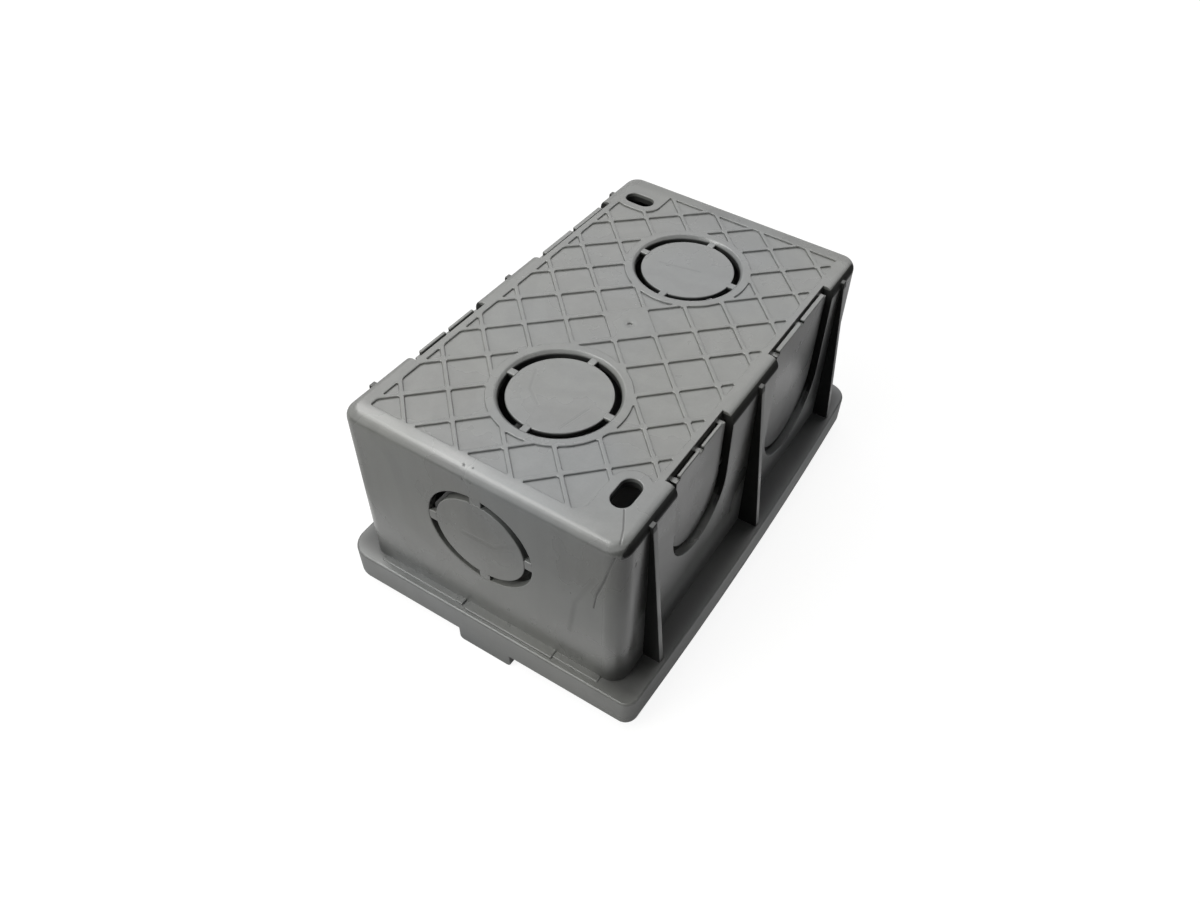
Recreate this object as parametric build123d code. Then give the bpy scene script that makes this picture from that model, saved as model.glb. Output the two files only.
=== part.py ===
from build123d import *
from math import ceil, radians, sqrt, tan
import os

# A one-piece moulded flush back box, face down: open front at the bottom, closed back on top.
# X runs along the long side, Y along the short side, Z up. The device lugs stand on Z = 0.
# All lengths are in millimetres and all angles in degrees.

# Body
back_length = 99.3
back_width = 59.7
body_height = 47.2
wall = 1.9
back_thickness = 2.2
short_draft = 0.1
long_draft = 0.8
body_corner_radius = 3.5
back_edge_radius = 2.2
cavity_corner_radius = 1.6

# Flange round the open front, its long sides bowed outwards
flange_length = 105.0
flange_width = 69.4
flange_bow = 1.1
flange_height = 6.9
flange_wall = 1.9
flange_web = 1.8
flange_sharp_corner_radius = 2.6
flange_round_corner_radius = 5.0
flange_edge_radius = 0.45
flange_band_width = 1.4
flange_band_height = 0.25
flange_pad_width = 1.9
flange_pad_height = 0.5
flange_pad_start = 16.1
flange_pad_end = 4.8
flange_pad_gap = 0.9
flange_stop_length = 1.9

# Device lugs, one at the middle of each short side
screw_spacing = 83.5
screw_hole_diameter = 3.0
screw_lead = 0.4
lug_width = 12.8
lug_reach = 5.0
lug_depth = 16.0
lug_proud = 3.7
lug_corner_radius = 1.0
lug_edge_chamfer = 0.8

# Diamond ribs on the back: the pads between them are sunk
rib_pitch = 11.6
rib_width = 0.9
rib_shift_x = 0.28
pad_depth = 0.4
pad_corner_cut = 0.35
pad_field_inset_x = 4.3
pad_field_inset_y = 4.0
smallest_pad_area = 1.2
gate_dimple_diameter = 3.6
gate_dimple_depth = 0.18
gate_pit_diameter = 0.9
gate_pit_depth = 0.5

# Round knockouts in the back
back_knockout_spacing = 47.8
back_disc_radius = 10.15
back_slot_width = 1.3
back_slot_bevel = 0.6
back_rim_width = 2.3
back_disc_drop = 0.45
back_disc_thickness = 1.1
back_bridge_width = 1.6
back_bridge_thickness = 0.9

# Round knockouts in the short walls
end_disc_radius = 9.9
end_slot_width = 1.6
end_knockout_drop = 16.8
end_bridge_width = 2.5
end_bridge_thickness = 1.1
end_bridge_drop = 0.1

# U-shaped knockouts in the long walls: a thin leaf set back in a notch that runs up through the back
notch_floor_inset = 2.5
small_knockout_x = -21.5
small_knockout_width = 20.6
small_knockout_depth = 25.8
large_knockout_x = 21.5
large_knockout_width = 27.0
large_knockout_depth = 35.2
small_leaf_gap = 0.75
large_leaf_gap = 0.4
leaf_front = 1.45
leaf_top_drop = 0.4
leaf_slot_width = 1.25
leaf_bridge_width = 1.2
leaf_bridge_height = 0.8
leaf_bridge_drop = 0.8
side_bridge_height = 1.6
side_bridge_thickness = 0.5

# Nail slots at two opposite corners of the back
nail_slot_length = 6.9
nail_slot_width = 4.0
near_slot_inset_x = 11.8
near_slot_inset_y = 6.65
far_slot_inset_x = 9.3
far_slot_inset_y = 7.5
slot_land = 2.0

# Gussets between the long walls and the flange
gusset_spacing = 40.4
gusset_thickness = 1.45
gusset_top_drop = 1.1
gusset_top_reach = 0.6
gusset_foot_inset = 0.9

# Heights that the sizes above give
flange_front = lug_proud
flange_top = flange_front + flange_height
back_face = flange_front + body_height
ceiling = back_face - back_thickness
end_knockout_z = back_face - end_knockout_drop
through = 4 * wall
overlap = 0.3


def half_length(z):
    """Distance from the middle to the outside of a short wall at a height."""
    return back_length / 2 + (back_face - z) * tan(radians(short_draft))


def half_width(z):
    """Distance from the middle to the outside of a long wall at a height."""
    return back_width / 2 + (back_face - z) * tan(radians(long_draft))


def trapezium(foot, head, bottom, top):
    """A symmetrical face that stands on its half width foot and ends at its half width head."""
    return make_face(Polyline((-foot, bottom), (foot, bottom), (head, top), (-head, top), close=True))


def drafted_block(bottom, top, inset, radius):
    """A block that follows the walls' drafts, drawn in by an inset, with rounded upright edges."""
    lengthwise = Plane.XZ * trapezium(half_length(bottom) - inset, half_length(top) - inset, bottom, top)
    crosswise = Plane.YZ * trapezium(half_width(bottom) - inset, half_width(top) - inset, bottom, top)
    block = extrude(lengthwise, back_width, both=True) & extrude(crosswise, back_length, both=True)
    uprights = [edge for edge in block.edges() if edge.bounding_box().size.Z > radius]
    return fillet(uprights, radius)


def flange_outline(inset):
    """The flange's outline in plan, its long sides bowed and two opposite corners rounder than the others."""
    x = flange_length / 2 - inset
    y = flange_width / 2 - inset
    edges = [
        Line((-x, y), (-x, -y)),
        ThreePointArc((-x, -y), (0, -y - flange_bow), (x, -y)),
        Line((x, -y), (x, y)),
        ThreePointArc((x, y), (0, y + flange_bow), (-x, y)),
    ]
    face = make_face(edges)
    sharp = [corner for corner in face.vertices() if corner.X * corner.Y > 0]
    face = fillet(sharp, max(flange_sharp_corner_radius - inset, 0.5))
    rounded = [corner for corner in face.vertices() if corner.X * corner.Y < -x * y / 2]
    return fillet(rounded, flange_round_corner_radius - inset)


def flange_edge_y(x):
    """Half width of the flange at a place along it."""
    return flange_width / 2 + flange_bow * (1 - (2 * x / flange_length) ** 2)


def body():
    """The outside of the body with its rounded back edge."""
    block = drafted_block(flange_front, back_face, 0, body_corner_radius)
    return fillet(block.faces().sort_by(Axis.Z)[-1].edges(), back_edge_radius)


def flange():
    """The flange with a rounded upper edge."""
    rim = Pos(0, 0, flange_front) * extrude(flange_outline(0), flange_height)
    return fillet(rim.faces().sort_by(Axis.Z)[-1].edges(), flange_edge_radius)


def on_side(shape, side):
    """The shape as made for the +X end, or turned half round for the other end."""
    return shape if side > 0 else Rot(0, 0, 180) * shape


def flange_band(side):
    """The low band along a short wall's foot, with a higher stretch, a gap and a short stop beside the lug."""
    inner = half_length(flange_top) - wall / 2
    band = Box(
        wall / 2 + flange_band_width, back_width - 2 * body_corner_radius, 2 * flange_band_height,
        align=(Align.MIN, Align.CENTER, Align.CENTER),
    )
    pad = Box(
        wall / 2 + flange_pad_width, flange_pad_start + flange_pad_end, 2 * flange_pad_height,
        align=(Align.MIN, Align.MIN, Align.CENTER),
    )
    gap = Pos(wall / 2, -flange_pad_end, 0) * Box(
        2 * flange_band_width, flange_pad_gap, 3 * flange_band_height,
        align=(Align.MIN, Align.MAX, Align.CENTER),
    )
    stop = Pos(0, -flange_pad_end - flange_pad_gap, 0) * Box(
        wall / 2 + flange_band_width, flange_stop_length, 2 * flange_pad_height,
        align=(Align.MIN, Align.MAX, Align.CENTER),
    )
    strip = Pos(inner, 0, flange_top) * (band - gap + stop + Pos(0, -flange_pad_end, 0) * pad)
    return on_side(strip, side)


def cavity():
    """The hollow inside, with the wider mouth inside the flange."""
    room = drafted_block(flange_front - wall, ceiling, wall, cavity_corner_radius)
    room = fillet(room.faces().sort_by(Axis.Z)[-1].edges(), cavity_corner_radius / 2)
    mouth = extrude(flange_outline(flange_wall), flange_height + wall - flange_web)
    return room + Pos(0, 0, flange_front - wall) * mouth


def device_lug(side):
    """A block at the middle of a short side, standing proud of the flange, that takes the device screw."""
    inner = screw_spacing / 2 - lug_reach
    block = Pos(inner, 0, 0) * Box(
        half_length(lug_depth) - wall / 2 - inner, lug_width, lug_depth,
        align=(Align.MIN, Align.CENTER, Align.MIN),
    )
    tab = Pos(inner, 0, 0) * Box(
        flange_length / 2 - inner, lug_width, flange_top - flange_web / 2,
        align=(Align.MIN, Align.CENTER, Align.MIN),
    )
    lug = block + tab
    lug = fillet(lug.faces().sort_by(Axis.Z)[0].edges().filter_by(Axis.X), lug_corner_radius)
    lug = chamfer(lug.edges().filter_by(Axis.Z).group_by(Axis.X)[0], lug_edge_chamfer)
    return on_side(lug, side)


def screw_hole(side):
    """The device screw's hole, open through the lug, with a small lead-in."""
    radius = screw_hole_diameter / 2
    hole = Pos(side * screw_spacing / 2, 0, -overlap) * Cylinder(
        radius, lug_depth + 2 * overlap, align=(Align.CENTER, Align.CENTER, Align.MIN)
    )
    lead = Pos(side * screw_spacing / 2, 0, 0) * Cone(
        radius + screw_lead, radius, screw_lead, align=(Align.CENTER, Align.CENTER, Align.MIN)
    )
    return hole + lead


def gusset(x, side):
    """A thin triangular web from the long wall down to the flange."""
    top = back_face - gusset_top_drop
    foot = flange_edge_y(x) - gusset_foot_inset
    profile = Polyline(
        (half_width(flange_top) - wall / 2, flange_top - flange_web / 2),
        (foot, flange_top - flange_web / 2),
        (foot, flange_top),
        (half_width(top) + gusset_top_reach, top),
        (half_width(top) - wall / 2, top),
        close=True,
    )
    web = extrude(Plane.YZ * make_face(profile), gusset_thickness / 2, both=True)
    web = Pos(x, 0, 0) * web
    return web if side > 0 else mirror(web, Plane.XZ)


def knockout_centres():
    """Centres of the two round knockouts in the back."""
    return [(-back_knockout_spacing / 2, 0), (back_knockout_spacing / 2, 0)]


def back_knockout(x, y):
    """What is cut for one round knockout in the back, and the thin bridges that hold its disc."""
    outer = back_disc_radius + back_slot_width
    ring = Cylinder(outer, through) - Cylinder(back_disc_radius, through)
    bevel = Cone(
        outer, outer + back_slot_bevel, back_slot_bevel, align=(Align.CENTER, Align.CENTER, Align.MAX)
    )
    dish = Cylinder(outer, back_disc_drop, align=(Align.CENTER, Align.CENTER, Align.MAX))
    under = Pos(0, 0, -back_disc_drop - back_disc_thickness) * Cylinder(
        outer, through, align=(Align.CENTER, Align.CENTER, Align.MAX)
    )
    span = 2 * (outer + overlap)
    cross = Box(span, back_bridge_width, back_bridge_thickness, align=(Align.CENTER, Align.CENTER, Align.MAX))
    cross += Rot(0, 0, 90) * cross
    bridges = cross - Cylinder(back_disc_radius - overlap, through)
    place = Pos(x, y, back_face)
    return place * (ring + bevel + dish + under), place * Pos(0, 0, -back_disc_drop) * bridges


def end_knockout(side):
    """The ring that is cut for a short wall's round knockout, and its bridges."""
    outer = end_disc_radius + end_slot_width
    ring = Cylinder(outer, 2 * through) - Cylinder(end_disc_radius, 2 * through)
    cross = Box(2 * (outer + overlap), end_bridge_width, end_bridge_thickness)
    cross += Rot(0, 0, 90) * cross
    bridges = cross - Cylinder(end_disc_radius - overlap, through)
    depth = end_bridge_drop + end_bridge_thickness / 2
    place = Pos(half_length(end_knockout_z) - depth, 0, end_knockout_z) * Rot(0, 90 - short_draft, 0)
    return on_side(place * ring, side), on_side(place * bridges, side)


def u_outline(x, width, depth, inset, top):
    """A U in the X-Z plane, open upwards, with a half-round foot."""
    radius = width / 2 - inset
    foot_centre = back_face - depth + width / 2
    straight = Pos(x, (foot_centre + top) / 2) * Rectangle(2 * radius, top - foot_centre)
    return Plane.XZ * (straight + Pos(x, foot_centre) * Circle(radius))


def side_knockout(x, width, depth, leaf_gap, side):
    """One U-shaped knockout: the notch that is cut, the leaf that stands in it, and its bridges."""
    floor = back_width / 2 - notch_floor_inset
    leaf_inner = floor + leaf_gap
    leaf_outer = floor + leaf_front
    leaf_thickness = leaf_front - leaf_gap
    reach = half_width(flange_top) + wall
    notch = extrude(u_outline(x, width, depth, 0, back_face + wall), reach - floor)
    notch = Pos(0, reach, 0) * notch
    leaf_top = back_face - leaf_top_drop
    leaf = extrude(u_outline(x, width, depth, leaf_slot_width, leaf_top), leaf_thickness)
    leaf = Pos(0, leaf_outer, 0) * leaf
    bridges = []
    leaf_half = width / 2 - leaf_slot_width
    for place in (-leaf_half + leaf_bridge_width / 2, 0, leaf_half - leaf_bridge_width / 2):
        leaf -= Pos(x + place, leaf_inner, leaf_top) * Box(
            leaf_bridge_width, 2 * leaf_thickness, 2 * leaf_bridge_drop,
            align=(Align.CENTER, Align.CENTER, Align.CENTER),
        )
        bridges.append(Pos(x + place, (floor + leaf_inner) / 2, leaf_top - leaf_bridge_drop) * Box(
            leaf_bridge_width, leaf_gap + 2 * overlap, leaf_bridge_height,
            align=(Align.CENTER, Align.CENTER, Align.MAX),
        ))
    side_z = back_face - depth / 2
    for end in (-1, 1):
        bridges.append(Pos(x + end * (width / 2 - leaf_slot_width / 2), leaf_inner, side_z) * Box(
            leaf_slot_width + 2 * overlap, side_bridge_thickness, side_bridge_height,
            align=(Align.CENTER, Align.MIN, Align.CENTER),
        ))
    added = leaf
    for bridge in bridges:
        added += bridge
    if side > 0:
        return notch, added
    return mirror(notch, Plane.XZ), mirror(added, Plane.XZ)


def nail_slots():
    """The two nail slots: one lies along the box, the other across it."""
    near_x = -back_length / 2 + near_slot_inset_x
    near_y = -back_width / 2 + near_slot_inset_y
    far_x = back_length / 2 - far_slot_inset_x
    far_y = back_width / 2 - far_slot_inset_y
    slot = SlotOverall(nail_slot_length, nail_slot_width)
    return [Pos(near_x, near_y) * slot, Pos(far_x, far_y) * Rot(0, 0, 90) * slot]


def pad_field():
    """The part of the back where pads may be sunk: clear of the edges, knockouts and nail slots."""
    field = Rectangle(back_length - 2 * pad_field_inset_x, back_width - 2 * pad_field_inset_y)
    keep_clear = back_disc_radius + back_slot_width + back_rim_width
    for x, y in knockout_centres():
        field -= Pos(x, y) * Circle(keep_clear)
    for slot in nail_slots():
        field -= slot_surround(slot)
    return field


def slot_surround(slot):
    """The smooth land round a nail slot, which also fills the corner of the back beyond it."""
    size = slot.bounding_box().size
    centre = slot.bounding_box().center()
    along = Rot(0, 0, 90) if size.Y > size.X else Rot(0, 0, 0)
    land = Pos(centre.X, centre.Y) * along * SlotOverall(
        nail_slot_length + 2 * slot_land, nail_slot_width + 2 * slot_land
    )
    side = 1 if centre.X > 0 else -1
    corner = Pos(centre.X, centre.Y - side * (size.Y / 2 + slot_land)) * Rectangle(
        back_length, back_width, align=(Align.MIN, Align.MIN) if side > 0 else (Align.MAX, Align.MAX)
    )
    return land + corner


def rib_pads():
    """The sunk pads between the diamond ribs, cut to the field, with eased corners."""
    side = rib_pitch / sqrt(2) - rib_width
    diamond = Rot(0, 0, 45) * Rectangle(side, side)
    field = pad_field()
    columns = ceil(back_length / rib_pitch)
    rows = ceil(back_width / rib_pitch)
    pads = []
    for i in range(-columns, columns + 1):
        for j in range(-rows, rows + 1):
            if (i + j) % 2 or (i == 0 and j == 0):
                continue
            cell = field & (Pos(i * rib_pitch / 2 + rib_shift_x, j * rib_pitch / 2) * diamond)
            if cell is None:
                continue
            for face in cell.faces():
                if face.area < smallest_pad_area:
                    continue
                pads.append(eased_pad(face))
    return pads


def eased_pad(face):
    """The face with its corners cut off a little, as far as its shortest side allows."""
    shortest = min(edge.length for edge in face.edges())
    return chamfer(face.vertices(), min(pad_corner_cut, shortest / 6))


def shell():
    """The box without its knockouts, nail slots and rib pads."""
    added = [flange()]
    for side in (-1, 1):
        added.append(flange_band(side))
        added.extend(gusset(x, side) for x in (-gusset_spacing, 0, gusset_spacing))
    box = body() + added - cavity()
    box += [device_lug(side) for side in (-1, 1)]
    return box - [screw_hole(side) for side in (-1, 1)]


def knockouts():
    """Everything that is cut for the knockouts, and the leaves and bridges that are left standing."""
    pairs = [back_knockout(x, y) for x, y in knockout_centres()]
    for side in (-1, 1):
        pairs.append(end_knockout(side))
        pairs.append(side_knockout(
            small_knockout_x, small_knockout_width, small_knockout_depth, small_leaf_gap, side
        ))
        pairs.append(side_knockout(
            large_knockout_x, large_knockout_width, large_knockout_depth, large_leaf_gap, side
        ))
    return [cut for cut, kept in pairs], [kept for cut, kept in pairs]


def gate_mark():
    """The shallow dimple and the small pit that the gate leaves in the middle of the back."""
    half = gate_dimple_diameter / 2
    radius = (half**2 + gate_dimple_depth**2) / (2 * gate_dimple_depth)
    dimple = Pos(rib_shift_x, 0, back_face - gate_dimple_depth + radius) * Sphere(radius)
    pit = Pos(rib_shift_x, 0, back_face) * Cylinder(gate_pit_diameter / 2, 2 * gate_pit_depth)
    return dimple + pit


def back_cuts():
    """The nail slots, the rib pads and the gate mark, ready to be cut from the back."""
    cuts = [Pos(0, 0, back_face - through) * extrude(slot, 2 * through) for slot in nail_slots()]
    floor = Pos(0, 0, back_face - pad_depth)
    cuts.extend(floor * extrude(pad, 2 * pad_depth) for pad in rib_pads())
    cuts.append(gate_mark())
    return cuts


def back_box():
    """The whole box as one solid."""
    cut, kept = knockouts()
    return shell() - (cut + back_cuts()) + kept


os.makedirs("parts", exist_ok=True)
export_step(back_box(), "parts/back_box.step")
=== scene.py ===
from math import cos, pi, radians, sin

import bmesh
import bpy
from mathutils import Matrix, Vector


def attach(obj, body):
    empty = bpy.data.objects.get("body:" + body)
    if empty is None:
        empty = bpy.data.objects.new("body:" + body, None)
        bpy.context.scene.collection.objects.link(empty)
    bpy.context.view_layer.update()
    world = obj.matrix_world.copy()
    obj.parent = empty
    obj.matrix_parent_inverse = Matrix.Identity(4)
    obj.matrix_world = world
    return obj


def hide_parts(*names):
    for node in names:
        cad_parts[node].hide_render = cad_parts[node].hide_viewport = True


# A moulded flush back box that lies face down, its closed back up. Metres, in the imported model's frame.
MM = 0.001

# The moulding's edges: how far those that stand out and those at a foot are eased, and what counts as sharp
EASED_EDGE = 0.22 * MM
EASED_FOOT = 0.03 * MM
EASED_STEPS = 2
SHARPEST_UNEASED = radians(38)
JOIN_DISTANCE = 0.002 * MM
FLAT_WITHIN = radians(0.3)
# The eased edges' middles, as attributes: the outer ones carry wear, the inner ones painted shade
WORN_AND_SHADED_PLACES = {True: "rubbed_edge", False: "inner_corner"}

# The plastic's two greys, how much it shines in the open and in its recesses, where its gloss is turned down as
# painted shade, and its roughness
PLASTIC_GREY = (0.192, 0.195, 0.185)
COOLER_GREY = (0.182, 0.19, 0.194)
OPEN_GLOSS = 1
RECESS_GLOSS = 0.1
SMOOTHEST = 0.21
ROUGHEST = 0.31

# The finish's noises: each one's scale, its detail, and the span of it that is spread from 0 to 1, if any
NOISES = {
    "cloud": (42, 4, 0.3, 0.7),
    "tint": (23, 2, 0.35, 0.65),
    "patches": (160, 2, 0.4, 0.6),
    "wave": (60, 1, None, None),
    "drag": (420, 3, None, None),
    "grain": (2400, 3, None, None),
    "push": (30, 2, None, None),
}
# The drag lines are drawn out along Z. The melt's front leaves rings round the gate, pushed out of round.
DRAWN_OUT = (1, 1, 0.1)
GATE = (0, 0, 0.05)
FRONT_PUSHED = 0.05
FRONT_WAVES = 700
LEAST_WEAR = 0.25
# How strongly the inner corners take the painted shade
INNER_CORNER_SHADE = 0.7
# Where the back rolls over into the short sides, across the box
SHOULDER_START = 45 * MM
SHOULDER_END = 49.2 * MM

# What each mask does to the grey: the span of the mask, and what the grey is multiplied by at its two ends
SHADES = (
    ("cloud", 0, 1, 0.955, 1.045),
    ("drag", 0.2, 0.8, 0.95, 1.05),
    ("grain", 0.2, 0.8, 0.97, 1.03),
    ("front", 0.2, 0.8, 0.965, 1.035),
    ("mark", 0, 1, 1, 0.3),
    ("flow", 0, 1, 1, 0.87),
    # Painted shade: the grey darkened where little light gets in and in the inner corners
    ("crease_shade", 0, 1, 1, 0.22),
    ("wear", 0, 1, 1, 1.22),
)
# How much rougher each mask makes the plastic, and how far in mm it lifts the surface
ROUGHER_BY = (("drag", 0.05), ("flow", 0.1), ("mark", 0.25), ("wear", 0.1), ("crease_shade", 0.35))
LIFTED_BY = (
    ("wave", 0.11),
    ("shoulder", -0.3),
    ("drag", 0.004),
    ("grain", 0.0014),
    ("front", 0.002),
    ("flow", -0.02),
    ("mark", -0.07),
)

# Marks of moulding and handling, each along a line between two places in mm, with its reach to either side
WELD_LINE = (
    ((-41.2, -24.9, 50.9), (-44.6, -26.9, 50.9), 0.3),
    ((-44.6, -26.9, 50.9), (-47.2, -28.0, 50.8), 0.3),
    ((-47.2, -28.0, 50.8), (-49.0, -28.1, 49.0), 0.35),
    ((-49.0, -28.1, 49.0), (-49.6, -26.75, 42.6), 0.4),
    ((-49.6, -26.75, 42.6), (-49.7, -25.2, 37.1), 0.42),
    ((-49.7, -25.2, 37.1), (-49.7, -24.6, 32.7), 0.3),
)
SCRATCHES = (
    ((-47.6, 3.1, 50.9), (-49.5, 2.1, 49.4), 0.3),
    ((-47.4, 1.3, 50.9), (-49.5, 0.4, 49.4), 0.22),
    ((-45.3, -29.9, 43.7), (-45.15, -29.9, 44.5), 0.24),
)
FLOW_MARKS = (
    ((-49.7, 3.5, 34.3), (-49.7, -3.5, 34.6), 1.0),
    ((-49.7, -3.5, 34.6), (-49.7, -8.2, 38.2), 1.0),
    ((-49.7, -19.4, 21.2), (-49.7, -20.7, 31.3), 0.9),
    ((-49.7, -20.7, 31.3), (-49.7, -24.8, 41.2), 0.9),
    ((-28.4, 1.8, 50.3), (-25.7, 5.5, 50.3), 0.5),
    ((-25.7, 5.5, 50.3), (-20.8, 7.7, 50.3), 0.5),
    ((-31.0, -5.1, 50.3), (-24.2, -6.6, 50.3), 0.5),
    ((22.5, 6.2, 50.3), (24.4, -2.8, 50.3), 0.5),
)

# Where little light gets in, shade is painted into the grey: lowest and highest corners in mm for one quarter
# of the box, the shade's reach outside them, the faces that it falls on, and its depth
CREASES = (
    ((0, 29.4, 10), (47, 36, 50), 0.3, "gusset", 1),
    ((0, 29, 10), (47, 31.4, 11.6), 8, "all", 1),
    ((0, 29.4, 10), (2, 31, 20), 5, "all", 0.8),
    ((41, 29.4, 10), (42, 31, 24), 3.2, "all", 0.8),
    ((8, 26.9, 13), (37, 29.6, 50), 0.3, "notch", 1),
    ((0, 0, 48), (45, 26.5, 49.8), 0.5, "slot", 1),
    ((0, 29.15, 48.5), (50, 30.5, 50.2), 0.35, "all", 0.9),
)
# How far a normal leans along an axis as the shade comes in or goes out
LEANS_ASIDE = (0.6, 0.8)
LEANS_UP = (0.3, 0.6)
# The recesses whose faces get the plastic with its gloss turned down, as painted shade: the faces, and the
# recess's lowest and highest corners in mm
RECESSES = (
    ("gusset", (0, 29.4, 10.4), (47, 36, 50)),
    ("notch", (8, 26.9, 13), (37, 29.7, 50.2)),
    ("slot", (0, 0, 48), (45, 26.5, 50.2)),
    ("rolled", (0, 29.15, 48.4), (50, 30.5, 50.35)),
)
# How much of such a face's normal lies along X or Y, and what an upright face's stays under along Z
FACES_ASIDE = 0.7
FACES_UP = 0.5
ROLLS_ASIDE = 0.6

# The photograph's camera: its place, its own right, up and backward directions, and its frame
CAMERA_PLACE = Vector((-124.05, -73.477, 167.714)) * MM
CAMERA_RIGHT = Vector((0.49831, -0.864098, 0.070858))
CAMERA_UP = Vector((0.60684, 0.405987, 0.683315))
CAMERA_BACK = Vector((-0.619219, -0.297504, 0.726677))
IMAGE_WIDTH = 1200
IMAGE_HEIGHT = 903
FOCAL_PIXELS = 917.006
CENTRE_X = 678.947
CENTRE_Y = 450.291
SENSOR_WIDTH = 36
NEAREST_SEEN = 0.01

# The studio. Lamps and cards have an angle round the box from +X, an angle above the floor, a distance,
# a width and a height; lamps also have a brightness, 1 being white, a tint, and what they light.
AIMED_AT_HEIGHT = 0.04
FLOOR_SIZE = 4
FLOOR_ALBEDO = 0.22
FLOOR_THROWN_BACK = 0.05
SURROUND_LIGHT = 0.025
LAMPS = (
    ("behind", 20, 50, 0.5, 0.84, 0.38, 1.08, (1, 1, 1), "all"),
    ("above_left", 151, 47, 0.5, 0.26, 0.8, 3.6, (1, 1, 0.97), "matt"),
    ("along_the_edge", 106, 62, 0.5, 0.42, 0.17, 5, (1, 1, 0.98), "gloss"),
)
CARDS = (
    ("card_right", -90, 5, 0.0557, 0.3, 0.042),
    ("card_left", 163, -1, 0.3, 0.4, 0.06),
)
# The soft shade painted into the floor's glow under the box: its middle, half its size, how soon the floor opens
# at its edge, how bright the eye sees the floor from there to far off, and how bright the gloss shows it, by the
# distance in mm
MIDDLE_OF_THE_SHADE = (0.0018, 0.0012, 0)
UNDER_THE_BOX = (0.0497, 0.034, 1)
FLOOR_OPENS_WITHIN = 1.5 * MM
FLOOR_TO_THE_EYE = (0.05, 0.4, 0.9, 1)
FLOOR_IN_THE_GLOSS = ((0, 0.1), (4, 0.22), (12, 0.86), (17, 0.84), (21, 0.28), (36, 0.5), (50, 0.5))


def added(name, data):
    """A new object in the scene that holds a mesh, a lamp or a camera."""
    thing = bpy.data.objects.new(name, data)
    bpy.context.scene.collection.objects.link(thing)
    return thing


def eased_moulding(node):
    """The moulding with its triangles joined into faces and its sharp edges eased, as a mould leaves them."""
    shape = bmesh.new()
    shape.from_mesh(node.data)
    bmesh.ops.remove_doubles(shape, verts=shape.verts, dist=JOIN_DISTANCE)
    bmesh.ops.dissolve_limit(
        shape, angle_limit=FLAT_WITHIN, use_dissolve_boundaries=False, verts=shape.verts, edges=shape.edges
    )
    # 1 at the middles of eased edges: wear on the outer ones, painted shade in the inner ones
    worn_or_shaded = {convex: shape.verts.layers.float.new(name) for convex, name in WORN_AND_SHADED_PLACES.items()}
    for convex, reach in ((True, EASED_EDGE), (False, EASED_FOOT)):
        sharp = [
            e
            for e in shape.edges
            if e.is_manifold and e.is_convex == convex and e.calc_face_angle() > SHARPEST_UNEASED
        ]
        eased = bmesh.ops.bevel(
            shape,
            geom=sharp,
            offset=reach,
            offset_type="OFFSET",
            segments=EASED_STEPS,
            profile=0.5,
            affect="EDGES",
            clamp_overlap=False,
            material=-1,
        )
        strips = set(eased["faces"])
        for vert in eased["verts"]:
            if strips.issuperset(vert.link_faces):
                vert[worn_or_shaded[convex]] = 1
    level = [e for e in shape.edges if e.is_manifold and e.calc_face_angle() < FLAT_WITHIN]
    bmesh.ops.dissolve_edges(shape, edges=level, use_verts=False, use_face_split=False)
    shape.normal_update()
    for face in shape.faces:
        face.smooth = True
    normals = [widest_normal(vert) for vert in shape.verts]
    mesh = bpy.data.meshes.new("eased_moulding")
    shape.to_mesh(mesh)
    shape.free()
    mesh.normals_split_custom_set_from_vertices(normals)
    return added("eased_moulding", mesh)


def widest_normal(vert):
    """A corner's normal, led by the widest faces at it, so that flat faces stay flat up to their eased edges."""
    normal = Vector()
    for face in vert.link_faces:
        normal += face.normal * face.calc_area() ** 2
    return normal.normalized()


def fed(tree, kind, feeds, **settings):
    """A node of a kind with its settings, and a value or a link for each socket named in feeds."""
    node = tree.nodes.new(kind)
    for name, value in settings.items():
        setattr(node, name, value)
    for socket, feed in feeds.items():
        if isinstance(feed, bpy.types.NodeSocket):
            tree.links.new(feed, node.inputs[socket])
        else:
            node.inputs[socket].default_value = feed
    return node


def worked_out(tree, operation, *feeds):
    """The result of one sum on numbers."""
    return fed(tree, "ShaderNodeMath", dict(enumerate(feeds)), operation=operation).outputs[0]


def worked_out_in_space(tree, operation, *feeds):
    """The result of one sum on directions or places."""
    node = fed(tree, "ShaderNodeVectorMath", dict(enumerate(feeds)), operation=operation)
    return node.outputs["Value" if operation in ("DOT_PRODUCT", "LENGTH") else "Vector"]


def scaled(tree, vector, scale):
    """A direction or a colour made longer or shorter."""
    return fed(tree, "ShaderNodeVectorMath", {0: vector, "Scale": scale}, operation="SCALE").outputs["Vector"]


def parts_of(tree, vector):
    """A direction's or a place's X, Y and Z."""
    return fed(tree, "ShaderNodeSeparateXYZ", {0: vector}).outputs


def eased_between(tree, value, low, high, at_low, at_high):
    """A value turned from one span to another, smooth at both ends."""
    spans = {"Value": value, "From Min": low, "From Max": high, "To Min": at_low, "To Max": at_high}
    return fed(tree, "ShaderNodeMapRange", spans, interpolation_type="SMOOTHSTEP").outputs["Result"]


def new_group(name, inputs, outputs):
    """An empty node group with named sockets: its tree, what it is given, and what it gives back."""
    group = bpy.data.node_groups.new(name, "ShaderNodeTree")
    for direction, sockets in (("INPUT", inputs), ("OUTPUT", outputs)):
        for socket, kind in sockets.items():
            group.interface.new_socket(name=socket, in_out=direction, socket_type="NodeSocket" + kind)
    return group, group.nodes.new("NodeGroupInput").outputs, group.nodes.new("NodeGroupOutput").inputs


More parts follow.
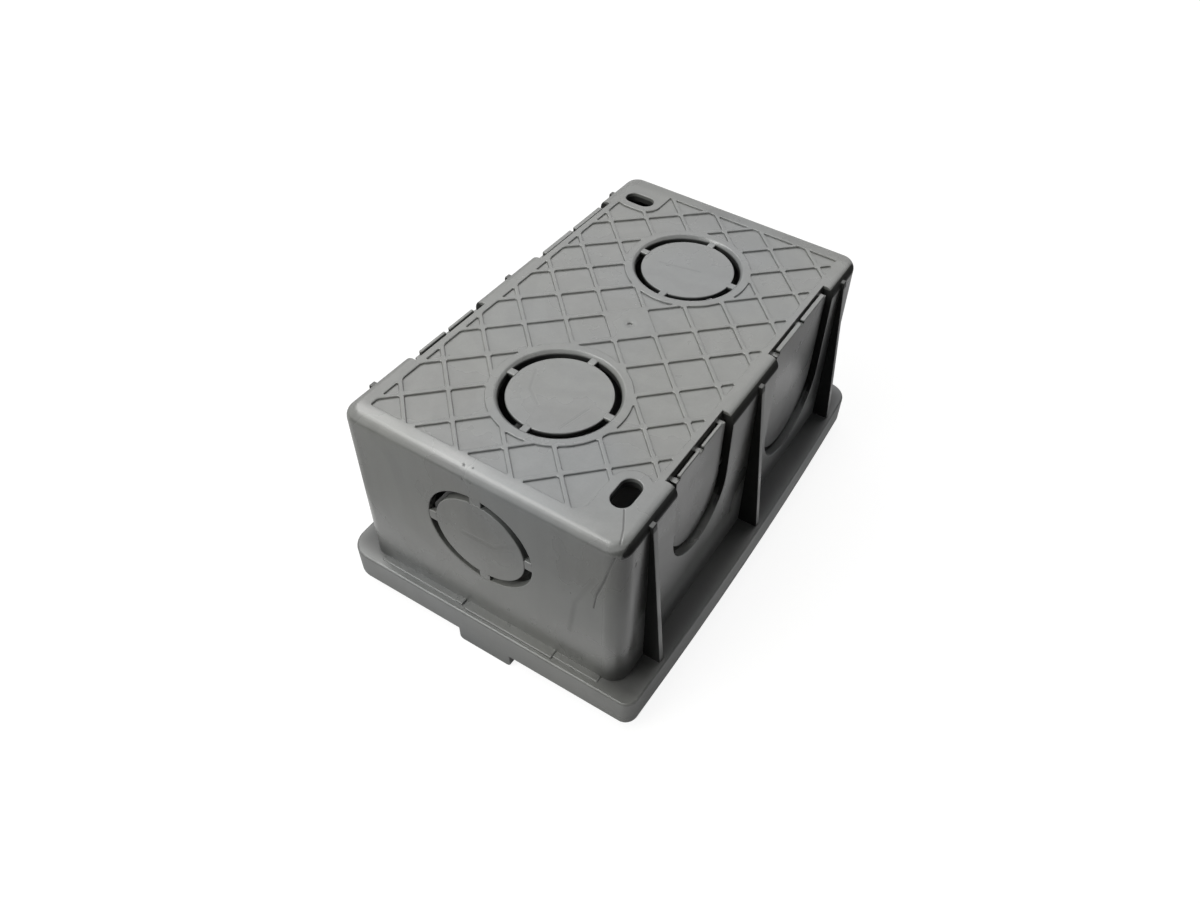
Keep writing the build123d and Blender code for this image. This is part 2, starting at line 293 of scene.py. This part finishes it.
def line_mask():
    """A group: 1 along the line between two places, down to 0 at a reach to either side."""
    sockets = {"Place": "Vector", "From": "Vector", "To": "Vector", "Reach": "Float"}
    group, given, result = new_group("line_mask", sockets, {"Mask": "Float"})
    along = worked_out_in_space(group, "SUBTRACT", given["To"], given["From"])
    away = worked_out_in_space(group, "SUBTRACT", given["Place"], given["From"])
    gone = worked_out_in_space(group, "DOT_PRODUCT", away, along)
    whole = worked_out_in_space(group, "DOT_PRODUCT", along, along)
    share = fed(group, "ShaderNodeMath", {0: gone, 1: whole}, operation="DIVIDE", use_clamp=True).outputs[0]
    aside = worked_out_in_space(group, "SUBTRACT", away, scaled(group, along, share))
    distance = worked_out_in_space(group, "LENGTH", aside)
    group.links.new(eased_between(group, distance, 0, given["Reach"], 1, 0), result["Mask"])
    return group


def room_mask():
    """A group: 1 within a box given by its lowest and highest corners, down to 0 at a reach outside it."""
    sockets = {"Place": "Vector", "Lowest": "Vector", "Highest": "Vector", "Reach": "Float"}
    group, given, result = new_group("room_mask", sockets, {"Mask": "Float"})
    below = worked_out_in_space(group, "SUBTRACT", given["Lowest"], given["Place"])
    above = worked_out_in_space(group, "SUBTRACT", given["Place"], given["Highest"])
    either = worked_out_in_space(group, "MAXIMUM", below, above)
    outside = worked_out_in_space(group, "LENGTH", worked_out_in_space(group, "MAXIMUM", either, (0, 0, 0)))
    group.links.new(eased_between(group, outside, 0, given["Reach"], 1, 0), result["Mask"])
    return group


def marks_along(tree, line, place, marks):
    """The mask of several line marks given in mm."""
    mask = None
    for start, end, reach in marks:
        feeds = {"Place": place, "From": Vector(start) * MM, "To": Vector(end) * MM, "Reach": reach * MM}
        mark = fed(tree, "ShaderNodeGroup", feeds, node_tree=line).outputs["Mask"]
        mask = worked_out(tree, "MAXIMUM", mask, mark) if mask else mark
    return mask


def creases(tree, room, place, facing):
    """The mask of painted shade on gusset sides, the long walls' feet, notch sides, the walls of the slots and
    under the long sides' rolled edges.
    """
    folded = worked_out_in_space(tree, "ABSOLUTE", place)
    turned = parts_of(tree, worked_out_in_space(tree, "ABSOLUTE", facing))
    endways = eased_between(tree, turned["X"], *LEANS_ASIDE, 0, 1)
    not_outward = eased_between(tree, turned["Y"], *LEANS_ASIDE, 1, 0)
    not_upward = eased_between(tree, parts_of(tree, facing)["Z"], *LEANS_UP, 1, 0)
    limits = {
        "gusset": endways,
        "notch": worked_out(tree, "MULTIPLY", not_outward, not_upward),
        "slot": not_upward,
    }
    mask = None
    for lowest, highest, reach, faces, depth in CREASES:
        feeds = {
            "Place": folded,
            "Lowest": Vector(lowest) * MM,
            "Highest": Vector(highest) * MM,
            "Reach": reach * MM,
        }
        shade = fed(tree, "ShaderNodeGroup", feeds, node_tree=room).outputs["Mask"]
        crease_shade = worked_out(tree, "MULTIPLY", shade, limits.get(faces, depth))
        mask = worked_out(tree, "MAXIMUM", mask, crease_shade) if mask else crease_shade
    return mask


def moulded_finish_and_shade():
    """A group: plastic clouded by the melt's flow, drawn along the walls, finely grained, marked and rubbed at
    its edges, with painted shade where little light gets in and in the inner corners.
    """
    group, given, result = new_group(
        "moulded_finish_and_shade",
        {"Place": "Vector", "Facing": "Vector", "Rubbed": "Float", "Inner": "Float"},
        {"Colour": "Color", "Roughness": "Float", "Height": "Float"},
    )
    place = given["Place"]

    def noise(name, vector=place):
        scale, detail, low, high = NOISES[name]
        feeds = {"Vector": vector, "Scale": scale, "Detail": detail}
        plain = fed(group, "ShaderNodeTexNoise", feeds).outputs["Fac"]
        return plain if low is None else eased_between(group, plain, low, high, 0, 1)

    drawn_out = fed(group, "ShaderNodeMapping", {"Vector": place, "Scale": DRAWN_OUT}).outputs[0]
    from_gate = worked_out_in_space(group, "LENGTH", worked_out_in_space(group, "SUBTRACT", place, GATE))
    pushed = worked_out(group, "MULTIPLY_ADD", noise("push"), FRONT_PUSHED, from_gate)
    rings = worked_out(group, "SINE", worked_out(group, "MULTIPLY", pushed, FRONT_WAVES))
    patches = worked_out(group, "MULTIPLY_ADD", noise("patches"), 1 - LEAST_WEAR, LEAST_WEAR)
    across = parts_of(group, worked_out_in_space(group, "ABSOLUTE", place))["X"]
    line = line_mask()
    weld = marks_along(group, line, place, WELD_LINE)
    scratch = marks_along(group, line, place, SCRATCHES)
    # Painted shade where little light gets in, and in the inner corners
    open_crease_shade = creases(group, room_mask(), place, given["Facing"])
    inner_corner_shade = worked_out(group, "MULTIPLY", given["Inner"], INNER_CORNER_SHADE)
    masks = {
        "cloud": noise("cloud"),
        "wave": noise("wave"),
        "drag": noise("drag", drawn_out),
        "grain": noise("grain"),
        "front": worked_out(group, "MULTIPLY_ADD", rings, 0.5, 0.5),
        "shoulder": eased_between(group, across, SHOULDER_START, SHOULDER_END, 0, 1),
        "mark": worked_out(group, "MAXIMUM", weld, scratch),
        "flow": marks_along(group, line, place, FLOW_MARKS),
        "crease_shade": worked_out(group, "MAXIMUM", open_crease_shade, inner_corner_shade),
        "wear": worked_out(group, "MULTIPLY", given["Rubbed"], patches),
    }

    shade = 1
    for name, *spans in SHADES:
        shade = worked_out(group, "MULTIPLY", shade, eased_between(group, masks[name], *spans))
    greys = {0: noise("tint"), 6: (*PLASTIC_GREY, 1), 7: (*COOLER_GREY, 1)}
    grey = fed(group, "ShaderNodeMix", greys, data_type="RGBA").outputs[2]
    rough = eased_between(group, masks["cloud"], 0, 1, SMOOTHEST, ROUGHEST)
    for name, amount in ROUGHER_BY:
        rough = worked_out(group, "MULTIPLY_ADD", masks[name], amount, rough)
    height = 0
    for name, amount in LIFTED_BY:
        height = worked_out(group, "MULTIPLY_ADD", masks[name], amount, height)

    group.links.new(scaled(group, grey, shade), result["Colour"])
    group.links.new(rough, result["Roughness"])
    group.links.new(height, result["Height"])
    return group


def plastic(name, gloss, finish_and_shade):
    """Satin grey moulded plastic with its own gloss, its grey darkened by painted shade where little light gets
    in.
    """
    material = bpy.data.materials.new(name)
    material.use_nodes = True
    tree = material.node_tree
    shader = tree.nodes["Principled BSDF"]
    shader.inputs["Specular IOR Level"].default_value = gloss
    coordinates = tree.nodes.new("ShaderNodeTexCoord").outputs
    rubbed, inner = (
        fed(tree, "ShaderNodeAttribute", {}, attribute_name=layer).outputs["Fac"]
        for layer in WORN_AND_SHADED_PLACES.values()
    )
    feeds = {"Place": coordinates["Object"], "Facing": coordinates["Normal"], "Rubbed": rubbed, "Inner": inner}
    surface = fed(tree, "ShaderNodeGroup", feeds, node_tree=finish_and_shade).outputs
    bump = fed(tree, "ShaderNodeBump", {"Height": surface["Height"], "Distance": MM})
    tree.links.new(surface["Colour"], shader.inputs["Base Color"])
    tree.links.new(surface["Roughness"], shader.inputs["Roughness"])
    tree.links.new(bump.outputs["Normal"], shader.inputs["Normal"])
    return material


def in_a_recess(face):
    """Whether a face of the moulding is a side of a gusset, notch or slot, or under a long side's rolled edge."""
    middle = [abs(c) / MM for c in face.center]
    endways, sideways, upward = abs(face.normal.x), abs(face.normal.y), face.normal.z
    looks = {
        "gusset": endways > FACES_ASIDE,
        "notch": sideways < FACES_ASIDE and upward < FACES_UP,
        "slot": upward < FACES_UP,
        "rolled": sideways > ROLLS_ASIDE,
    }
    return any(
        looks[faces] and all(low < c < high for low, c, high in zip(lowest, middle, highest))
        for faces, lowest, highest in RECESSES
    )


def stage_panel(name, place, width, height):
    """A flat panel of the studio that faces the box, or the floor when it lies below it."""
    shape = bmesh.new()
    bmesh.ops.create_grid(shape, x_segments=1, y_segments=1, size=0.5)
    bmesh.ops.scale(shape, vec=(width, height, 1), verts=shape.verts)
    turned = place.to_track_quat("-Z", "Y").to_matrix() if place.length else Matrix.Identity(3)
    bmesh.ops.rotate(shape, matrix=turned, verts=shape.verts)
    bmesh.ops.translate(shape, vec=place, verts=shape.verts)
    mesh = bpy.data.meshes.new(name)
    shape.to_mesh(mesh)
    shape.free()
    panel = added(name, mesh)
    return panel


def seen_from_box(azimuth, elevation, distance):
    """The place at a compass angle from +X, an angle above the floor and a distance from the box's back."""
    around, up = radians(azimuth), radians(elevation)
    flat = cos(up) * distance
    return Vector((cos(around) * flat, sin(around) * flat, sin(up) * distance + AIMED_AT_HEIGHT))


def seen_in_gloss(tree):
    """1 for a ray that the gloss sends straight on, 0 for one that a matt surface has scattered before."""
    seen = tree.nodes.new("ShaderNodeLightPath").outputs
    unscattered = worked_out(tree, "LESS_THAN", seen["Diffuse Depth"], 0.5)
    return worked_out(tree, "MULTIPLY", seen["Is Glossy Ray"], unscattered)


def floor_finish():
    """White to the eye, paler in the gloss than the light it throws back, with the box's shadow on it and shade
    painted into its glow near the box.
    """
    material = bpy.data.materials.new("floor")
    material.use_nodes = True
    tree = material.node_tree
    tree.nodes.clear()
    seen = tree.nodes.new("ShaderNodeLightPath").outputs
    place = tree.nodes.new("ShaderNodeTexCoord").outputs["Object"]
    from_middle = worked_out_in_space(tree, "SUBTRACT", place, MIDDLE_OF_THE_SHADE)
    folded = worked_out_in_space(tree, "ABSOLUTE", from_middle)
    past_the_box = worked_out_in_space(tree, "SUBTRACT", folded, UNDER_THE_BOX)
    beyond = worked_out_in_space(tree, "MAXIMUM", past_the_box, (0, 0, 0))
    distance = worked_out_in_space(tree, "LENGTH", beyond)
    widest = FLOOR_IN_THE_GLOSS[-1][0]
    # Painted shade and light in the floor as the gloss shows it, by the distance from the box
    glossy = fed(tree, "ShaderNodeValToRGB", {0: worked_out(tree, "DIVIDE", distance, widest * MM)})
    stops = glossy.color_ramp.elements
    while len(stops) < len(FLOOR_IN_THE_GLOSS):
        stops.new(1)
    for stop, (far, bright) in zip(stops, FLOOR_IN_THE_GLOSS):
        stop.position = far / widest
        stop.color = (bright, bright, bright, 1)
    in_gloss = worked_out(tree, "MULTIPLY", glossy.outputs[0], seen_in_gloss(tree))
    # Painted shade: the floor glows a little less to the eye near the box
    by_distance = eased_between(tree, distance, *FLOOR_TO_THE_EYE)
    to_eye = worked_out(tree, "MULTIPLY", by_distance, seen["Is Camera Ray"])
    # Painted shade under the box: the floor does not glow there
    open_floor = eased_between(tree, distance, 0, FLOOR_OPENS_WITHIN, 0, 1)
    strength = worked_out(tree, "MULTIPLY", worked_out(tree, "ADD", in_gloss, to_eye), open_floor)
    glow = fed(tree, "ShaderNodeEmission", {"Strength": strength})
    spans = {"Value": seen["Is Diffuse Ray"], "To Min": FLOOR_ALBEDO, "To Max": FLOOR_THROWN_BACK}
    albedo = fed(tree, "ShaderNodeMapRange", spans)
    matt = fed(tree, "ShaderNodeBsdfDiffuse", {"Color": albedo.outputs["Result"]})
    both = fed(tree, "ShaderNodeAddShader", {0: glow.outputs[0], 1: matt.outputs[0]})
    fed(tree, "ShaderNodeOutputMaterial", {"Surface": both.outputs[0]})
    return material


def card_finish():
    """Dead black card."""
    material = bpy.data.materials.new("black_card")
    material.use_nodes = True
    shader = material.node_tree.nodes["Principled BSDF"]
    shader.inputs["Base Color"].default_value = (0, 0, 0, 1)
    shader.inputs["Roughness"].default_value = 1
    shader.inputs["Specular IOR Level"].default_value = 0
    return material


def surround():
    """A world that is white to the eye and in the gloss, and throws little light on the box."""
    world = bpy.data.worlds.new("surround")
    world.use_nodes = True
    tree = world.node_tree
    seen = tree.nodes.new("ShaderNodeLightPath").outputs
    either = worked_out(tree, "MAXIMUM", seen["Is Camera Ray"], seen_in_gloss(tree))
    shown = worked_out(tree, "MAXIMUM", either, seen["Is Transmission Ray"])
    strength = fed(tree, "ShaderNodeMapRange", {"Value": shown, "To Min": SURROUND_LIGHT, "To Max": 1})
    background = tree.nodes["Background"]
    background.inputs["Color"].default_value = (1, 1, 1, 1)
    tree.links.new(strength.outputs["Result"], background.inputs["Strength"])
    return world


def studio():
    """A pale floor, a white surround, soft lamps, and dark cards that only the plastic's gloss shows."""
    floor = stage_panel("floor", Vector(), FLOOR_SIZE, FLOOR_SIZE)
    floor.data.materials.append(floor_finish())
    black = card_finish()
    for name, azimuth, elevation, distance, width, height in CARDS:
        card = stage_panel(name, seen_from_box(azimuth, elevation, distance), width, height)
        card.data.materials.append(black)
        card.visible_camera = False
        card.visible_diffuse = False
        card.visible_shadow = False
    bpy.context.scene.world = surround()
    for name, azimuth, elevation, distance, width, height, brightness, tint, lights in LAMPS:
        light = bpy.data.lights.new(name, "AREA")
        light.shape = "RECTANGLE"
        light.size, light.size_y = width, height
        light.energy = brightness * pi * width * height
        light.color = tint
        place = seen_from_box(azimuth, elevation, distance)
        turned = place.to_track_quat("Z", "Y").to_matrix().to_4x4()
        lamp = added(name, light)
        lamp.matrix_world = Matrix.Translation(place) @ turned
        lamp.visible_diffuse = lights != "gloss"
        lamp.visible_glossy = lights != "matt"


def photo_camera():
    """The camera that took the photograph, as its outlines were fitted."""
    lens = bpy.data.cameras.new("photo_camera")
    lens.sensor_width = SENSOR_WIDTH
    lens.lens = FOCAL_PIXELS * SENSOR_WIDTH / IMAGE_WIDTH
    lens.shift_x = (IMAGE_WIDTH / 2 - CENTRE_X) / IMAGE_WIDTH
    lens.shift_y = (CENTRE_Y - IMAGE_HEIGHT / 2) / IMAGE_WIDTH
    lens.clip_start = NEAREST_SEEN
    camera = added("photo_camera", lens)
    turned = Matrix((CAMERA_RIGHT, CAMERA_UP, CAMERA_BACK)).transposed().to_4x4()
    camera.matrix_world = Matrix.Translation(CAMERA_PLACE) @ turned
    bpy.context.scene.camera = camera


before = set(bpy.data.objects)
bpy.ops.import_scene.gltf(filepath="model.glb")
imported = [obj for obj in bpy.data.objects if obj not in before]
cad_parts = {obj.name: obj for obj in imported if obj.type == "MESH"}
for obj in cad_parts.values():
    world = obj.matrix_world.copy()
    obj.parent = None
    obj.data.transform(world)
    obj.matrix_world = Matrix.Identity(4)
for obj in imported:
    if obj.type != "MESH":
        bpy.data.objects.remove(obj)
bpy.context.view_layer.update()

back_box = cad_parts["back_box"]
moulding = eased_moulding(back_box)
finish_and_shade = moulded_finish_and_shade()
moulding.data.materials.append(plastic("satin_grey_plastic", OPEN_GLOSS, finish_and_shade))
# A copy of the plastic with little gloss, for the faces in recesses and under the rolled edges: painted shade
moulding.data.materials.append(plastic("shaded_grey_plastic", RECESS_GLOSS, finish_and_shade))
for face in moulding.data.polygons:
    face.material_index = int(in_a_recess(face))
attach(moulding, "root")
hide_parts("back_box")

studio()
photo_camera()
bpy.context.scene.view_settings.view_transform = "Standard"
